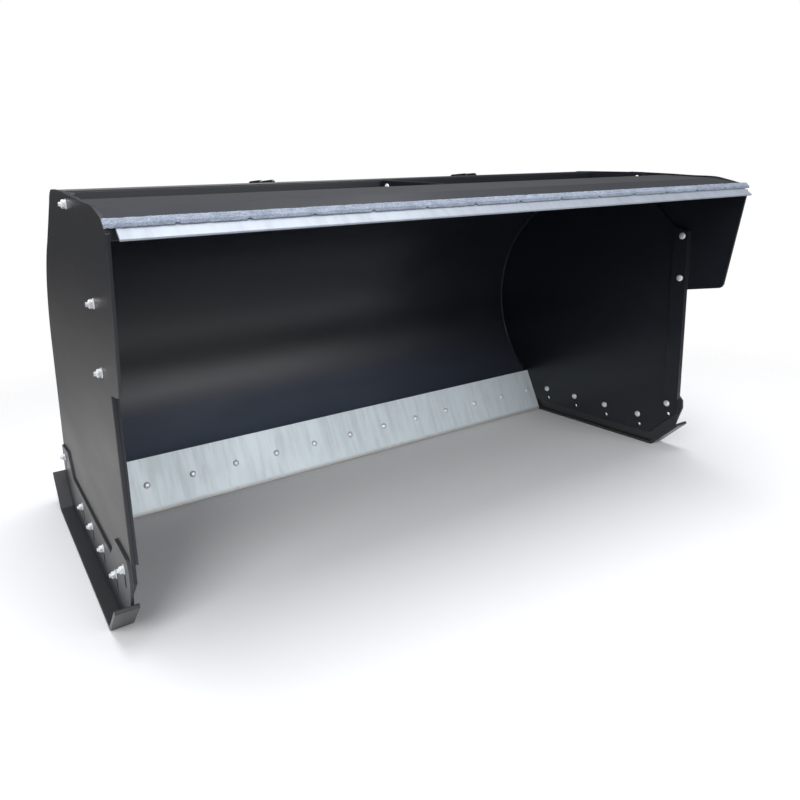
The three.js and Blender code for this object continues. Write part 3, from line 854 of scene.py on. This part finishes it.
class PUSHER_OT_side_plates(bpy.types.Operator):
    """Side plates and the flat bars on their front edges"""
    bl_idname = "snow_pusher.side_plates"
    bl_label = "Side plates"

    def execute(self, context):
        for word, _ in SIDES:
            # The side plates' outer faces get the painted brownish reflection of the ground.
            fair_plate(f"{word}_side_plate", black_enamel(0.78, outer_face("left_side_plate")))
            fair_plate(f"{word}_front_stiffener", black_enamel(), corner=2.0 * MM)
        return {"FINISHED"}


class PUSHER_OT_hood(bpy.types.Operator):
    """Pull-back hood: folded plate and its two end plates"""
    bl_idname = "snow_pusher.hood"
    bl_label = "Hood"

    def execute(self, context):
        fair_plate("hood_top_plate", black_enamel(), axis=AXIS_X, sheet=SHEET, crease=6.0)
        for word, _ in SIDES:
            # The ears' outer faces get the painted brownish reflection of the ground.
            fair_plate(f"{word}_hood_ear", black_enamel(0.8, outer_face("left_hood_ear")), corner=8.0 * MM)
        return {"FINISHED"}


class PUSHER_OT_blades(bpy.types.Operator):
    """Cutting edge, its backing bar and the pull-back blade"""
    bl_idname = "snow_pusher.blades"
    bl_label = "Blades"

    def execute(self, context):
        fair_plate("cutting_edge", blade_plate(0.7), corner=1.5 * MM)
        fair_plate("edge_backing_bar", black_enamel(), corner=1.5 * MM)
        fair_plate("pullback_blade", blade_plate(), axis=AXIS_X, corner=1.5 * MM)
        return {"FINISHED"}


class PUSHER_OT_edging(bpy.types.Operator):
    """Rough edging strip with a half-round notch at each bolt"""
    bl_idname = "snow_pusher.edging"
    bl_label = "Edging strip"

    def execute(self, context):
        """Points run round a rounded section and along X. Each is moved along the section's normal by layered
        noise, and inside a notch's circle the front is set back by the notch depth."""
        sizes = settings().edging
        node = "edging_strip"
        low, high = (np.array(corner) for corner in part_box(node))
        loops, _, _ = section(node, AXIS_X)
        line, side = fair_outline(loops[0], math.radians(14.0), 2.5 * MM)
        line, side = resample(line, side, 1.6 * MM)
        centres = (np.arange(sizes.notches) - (sizes.notches - 1) / 2) * sizes.notch_pitch
        near = (centres[:, None] + np.linspace(-1.25, 1.25, 34)[None] * sizes.notch).ravel()
        stations = np.unique(np.concatenate([np.arange(low[0], high[0], 3.2 * MM), near, [high[0]]]))
        across = np.stack(basis(AXIS_X))
        flat, out = line @ across, side @ across
        points = flat[None] + stations[:, None, None] * AXIS_X
        around = np.arange(len(line)) * 1.6 * MM
        fine = layered_noise(stations / 0.009, around / 0.007)
        rough = fine + 0.6 * layered_noise(stations / 0.03, around / 0.02)
        points = points - np.abs(rough)[..., None] * sizes.relief * out[None]
        gap = np.abs(stations[:, None] - centres[None]).min(axis=1)
        inside = gap[:, None] ** 2 + (points[..., 2] - low[2]) ** 2 < sizes.notch ** 2
        front = points[..., 1] < low[1] + sizes.notch_depth
        points[..., 1] = np.where(inside & front, low[1] + sizes.notch_depth, points[..., 1])
        rows, columns = points.shape[:2]
        faces = [face[::-1] for face in grid_faces(rows, columns)]
        faces += [list(range(columns)), list(range((rows - 1) * columns, rows * columns))[::-1]]
        if winding(points.reshape(-1, 3), faces) < 0:
            faces = [face[::-1] for face in faces]
        shell = (points.reshape(-1, 3), faces, None)
        add_piece(node + "_finished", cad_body(node), rough_edging(), [shell], [node])
        return {"FINISHED"}


def resample(line, side, spacing):
    """A closed outline at even spacing, with its normals."""
    closed = np.concatenate([line, line[:1]])
    along = np.concatenate([[0.0], np.cumsum(np.linalg.norm(np.diff(closed, axis=0), axis=1))])
    place = np.linspace(0.0, along[-1], max(8, int(along[-1] / spacing)), endpoint=False)
    normal = np.concatenate([side, side[:1]])
    return (np.stack([np.interp(place, along, closed[:, i]) for i in range(2)], axis=1),
            unit(np.stack([np.interp(place, along, normal[:, i]) for i in range(2)], axis=1)))


def layered_noise(u, v):
    """Two octaves of smooth lattice noise at the crossings of u and v, from about -1 to 1."""
    total = np.zeros((len(u), len(v)))
    for octave, seed in ((1.0, 7), (2.3, 8)):
        lattice = np.random.default_rng(seed).uniform(-1.0, 1.0, (1024, 64))
        pu, pv = (u - u.min()) * octave, (v - v.min()) * octave
        iu, iv = np.floor(pu).astype(int), np.floor(pv).astype(int)
        fu, fv = pu - iu, pv - iv
        fu, fv = fu * fu * (3 - 2 * fu), fv * fv * (3 - 2 * fv)
        corners = [[lattice[np.ix_((iu + a) % 1024, (iv + b) % 64)] for b in (0, 1)] for a in (0, 1)]
        low = corners[0][0] * (1 - fv) + corners[0][1] * fv
        high = corners[1][0] * (1 - fv) + corners[1][1] * fv
        total += (low * (1 - fu)[:, None] + high * fu[:, None]) / octave
    return total * 0.8


def winding(points, faces):
    """Signed volume of the quads, by their first three corners: positive when the faces point outwards."""
    quads = np.array([face for face in faces if len(face) == 4])
    a, b, c, d = (points[quads[:, i]] for i in range(4))
    return float((np.cross(b - a, c - a) * a).sum() + (np.cross(c - a, d - a) * a).sum())


class PUSHER_OT_shoes(bpy.types.Operator):
    """Skid shoes: turned-up sole and slotted bracket on each side"""
    bl_idname = "snow_pusher.shoes"
    bl_label = "Skid shoes"

    def execute(self, context):
        for word, _ in SIDES:
            # Shoes get a weak painted brownish reflection of the ground, with a little grime.
            fair_plate(f"{word}_shoe_sole", black_enamel(0.2), axis=AXIS_X, sheet=SOLE, edge=1.2 * MM)
            fair_plate(f"{word}_shoe_bracket", black_enamel(0.2))
        return {"FINISHED"}


class PUSHER_OT_fasteners(bpy.types.Operator):
    """Bolts of the cutting edge, the hood's end plates, the shoes and the centre brace"""
    bl_idname = "snow_pusher.fasteners"
    bl_label = "Fasteners"

    def execute(self, context):
        face = broad_normal("cutting_edge")
        for node in sorted(frame["nodes"]):
            if "_bolt" not in node:
                continue
            if node.startswith("edge"):
                fastener(node, face)
            elif node.startswith("left"):
                fastener(node, AXIS_X)
            else:
                fastener(node, -AXIS_X)
        return {"FINISHED"}


class PUSHER_OT_welds(bpy.types.Operator):
    """Fillet welds that join the plates"""
    bl_idname = "snow_pusher.welds"
    bl_label = "Welds"

    def execute(self, context):
        leg = settings().weld.leg
        self.moldboard_welds(leg)
        self.rear_welds(leg)
        self.shoe_welds(leg)
        return {"FINISHED"}

    def moldboard_welds(self, leg):
        """Along the ends of the moldboard and the rear edges of the front flat bars."""
        line, inward = concave_run("moldboard")
        for word, side in SIDES:
            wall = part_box(f"{word}_side_plate")
            x = wall[0][0] if side > 0 else wall[1][0]
            path = line * (0, 1, 1) + np.array((x, 0, 0))
            runs = [(path, inward, -side * AXIS_X, leg)]
            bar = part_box(f"{word}_front_stiffener")
            low, high = bar[0][2] + 0.02, bar[1][2] - 0.03
            back = bar[1][1]
            upright = [(x, back, z) for z in np.linspace(low, high, 40)]
            runs.append((upright, -side * AXIS_X, (0, 1, 0), leg))
            weld(f"{word}_inner_welds", "pusher", runs)

    def rear_welds(self, leg):
        """Ribs to moldboard and coupler, coupler hook and ledge."""
        line, inward = concave_run("left_rib_1")
        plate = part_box("coupler_plate")
        for word, _ in SIDES:
            runs = []
            for number in (1, 2):
                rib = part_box(f"{word}_rib_{number}")
                for x, way in ((rib[0][0], -1), (rib[1][0], 1)):
                    runs.append((line * (0, 1, 1) + np.array((x, 0, 0)), way * AXIS_X, -inward, leg))
                    for low, high in ((0.02, 0.16), (0.25, 0.41)):
                        upright = [(x, plate[0][1], plate[0][2] + z) for z in np.linspace(low, high, 20)]
                        runs.append((upright, way * AXIS_X, (0, -1, 0), leg))
            weld(f"{word}_rib_welds", "pusher", runs)
        hook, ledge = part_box("coupler_hook"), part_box("coupler_ledge")
        back = plate[1][1]
        ledge_top = ledge[1][2] - 2.6 * MM
        across = np.linspace(plate[0][0] + 0.02, plate[1][0] - 0.02, 60)
        level = [
            ([(x, back, ledge_top) for x in across], (0, 1, 0), (0, 0, 1), leg),
            ([(x, back, hook[0][2] + 0.044 - 2 * MM) for x in across], (0, 1, 0), (0, 0, -1), 0.6 * leg),
        ]
        weld("coupler_welds", "pusher", level)

    def shoe_welds(self, leg):
        """Between each bracket's outer face and the sole."""
        for word, side in SIDES:
            bracket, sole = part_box(f"{word}_shoe_bracket"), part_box(f"{word}_shoe_sole")
            x = bracket[1][0] if side > 0 else bracket[0][0]
            top = sole[0][2] + SOLE
            ends = (bracket[0][1] + 0.16, bracket[1][1] - 0.14)
            level = [(x, y, top) for y in np.linspace(*ends, 60)]
            weld(f"{word}_shoe_weld", f"{word}_shoe", [(level, side * AXIS_X, (0, 0, 1), leg)])


class PUSHER_OT_stage(bpy.types.Operator):
    """Floor, lights and camera"""
    bl_idname = "snow_pusher.stage"
    bl_label = "Stage"

    def execute(self, context):
        self.floor()
        self.lights()
        self.world()
        self.camera()
        context.scene.view_settings.view_transform = "Standard"
        return {"FINISHED"}

    def floor(self):
        """A square around the object, which falls as the square of the distance from its middle."""
        reach = np.linspace(-FLOOR_HALF, FLOOR_HALF, 25)
        x, y = np.meshgrid(reach, reach, indexing="ij")
        z = -FLOOR_FALL * (x**2 + y**2) / FLOOR_HALF**2
        points = np.stack([x, y, z], axis=-1).reshape(-1, 3)
        mesh = bpy.data.meshes.new("studio_floor")
        mesh.from_pydata(points, [], grid_faces(25, 25, wrap=False))
        mesh.shade_smooth()
        mesh.materials.append(studio_floor())
        if mesh.polygons[0].normal.z < 0:
            mesh.flip_normals()
        floor = bpy.data.objects.new("studio_floor", mesh)
        bpy.context.scene.collection.objects.link(floor)

    def lights(self):
        """Softboxes at the left, before the open front and overhead, none of them in view."""
        values = settings().stage
        boxes = (
            ("key_softbox", (-3.6, -2.6, 3.2), (0.0, 0.0, 0.5), (2.6, 2.0), values.key),
            ("front_softbox", (0.8, -4.5, 2.6), (0.0, 0.2, 0.4), (4.5, 2.3), values.fill),
            ("overhead_softbox", (0.0, 0.2, 4.6), (0.0, 0.0, 0.0), (5.0, 4.0), values.overhead),
        )
        for name, place, target, size, power in boxes:
            lamp = bpy.data.lights.new(name, "AREA")
            lamp.shape = "RECTANGLE"
            lamp.size, lamp.size_y = size
            lamp.energy = power
            light = bpy.data.objects.new(name, lamp)
            light.location = place
            light.visible_camera = False
            light.rotation_euler = (Vector(target) - Vector(place)).to_track_quat("-Z", "Y").to_euler()
            bpy.context.scene.collection.objects.link(light)

    def world(self):
        """A dim room for reflections, plain white behind the object."""
        world = bpy.data.worlds.new("studio")
        room = Finish("studio", world)
        direction = room.node("ShaderNodeTexCoord", output="Generated")
        height = room.node("ShaderNodeSeparateXYZ", None, {0: direction}, "Z")
        share = room.node("ShaderNodeMapRange", None, {"Value": height, "From Min": -1.0})
        stops = (
            (0.0, (0.30, 0.30, 0.30)), (0.375, (0.30, 0.30, 0.30)), (0.44, (0.08, 0.08, 0.085)),
            (0.51, (0.08, 0.08, 0.085)), (0.56, (0.23, 0.215, 0.20)), (0.64, (0.22, 0.22, 0.22)),
            (0.725, (0.12, 0.125, 0.14)), (0.90, (0.34, 0.36, 0.40)), (1.0, (0.58, 0.60, 0.64)))
        shade = room.node("ShaderNodeValToRGB", {"stops": stops}, {"Fac": share})
        around = room.node("ShaderNodeBackground", None, {"Color": shade})
        white = room.node("ShaderNodeBackground", None, {"Color": (1.0, 1.0, 1.0, 1.0)})
        seen = room.node("ShaderNodeLightPath", output="Is Camera Ray")
        both = room.node("ShaderNodeMixShader", None, {0: seen, 1: around, 2: white})
        room.node_output(both, "ShaderNodeOutputWorld")
        bpy.context.scene.world = world

    def camera(self):
        """Looks along yaw and pitch from the eye, rolled about that line."""
        values = settings().stage
        level = Vector((math.cos(values.yaw), -math.sin(values.yaw), 0.0))
        ahead = Vector((math.sin(values.yaw) * math.cos(values.pitch),
                        math.cos(values.yaw) * math.cos(values.pitch), -math.sin(values.pitch)))
        raised = level.cross(ahead)
        right = math.cos(values.roll) * level + math.sin(values.roll) * raised
        above = math.cos(values.roll) * raised - math.sin(values.roll) * level
        data = bpy.data.cameras.new("camera")
        data.sensor_width = 36.0
        data.lens = values.lens
        data.shift_x, data.shift_y = values.shift
        data.clip_start = 0.05
        camera = bpy.data.objects.new("camera", data)
        turn = Matrix((right, above, -ahead)).transposed()
        camera.matrix_world = Matrix.Translation(values.eye) @ turn.to_4x4()
        bpy.context.scene.collection.objects.link(camera)
        bpy.context.scene.camera = camera


class PUSHER_PT_sidebar(bpy.types.Panel):
    """Lists the pieces and their settings"""
    bl_idname = "PUSHER_PT_sidebar"
    bl_label = "Snow Pusher"
    bl_space_type = "VIEW_3D"
    bl_region_type = "UI"
    bl_category = "Snow Pusher"

    def draw(self, context):
        values = context.scene.snow_pusher
        for maker in MAKERS:
            self.layout.operator(maker.bl_idname)
        for group in ("plate", "fastener", "weld", "edging", "finish", "stage"):
            box = self.layout.box()
            box.label(text=group.title())
            for key in getattr(values, group).__annotations__:
                box.prop(getattr(values, group), key)


MAKERS = (
    PUSHER_OT_moldboard, PUSHER_OT_rear_frame, PUSHER_OT_coupler, PUSHER_OT_side_plates, PUSHER_OT_hood,
    PUSHER_OT_blades, PUSHER_OT_edging, PUSHER_OT_shoes, PUSHER_OT_fasteners, PUSHER_OT_welds,
    PUSHER_OT_stage,
)
CLASSES = (
    PlateSettings, FastenerSettings, WeldSettings, EdgingSettings, FinishSettings, StageSettings,
    PusherSettings,
    *MAKERS, PUSHER_PT_sidebar,
)


def register():
    for cls in CLASSES:
        bpy.utils.register_class(cls)
    bpy.types.Scene.snow_pusher = PointerProperty(type=PusherSettings)


def unregister():
    del bpy.types.Scene.snow_pusher
    for cls in reversed(CLASSES):
        bpy.utils.unregister_class(cls)


def main():
    register()
    for maker in MAKERS:
        group, name = maker.bl_idname.split(".")
        getattr(getattr(bpy.ops, group), name)()


if __name__ == "__main__":
    main()
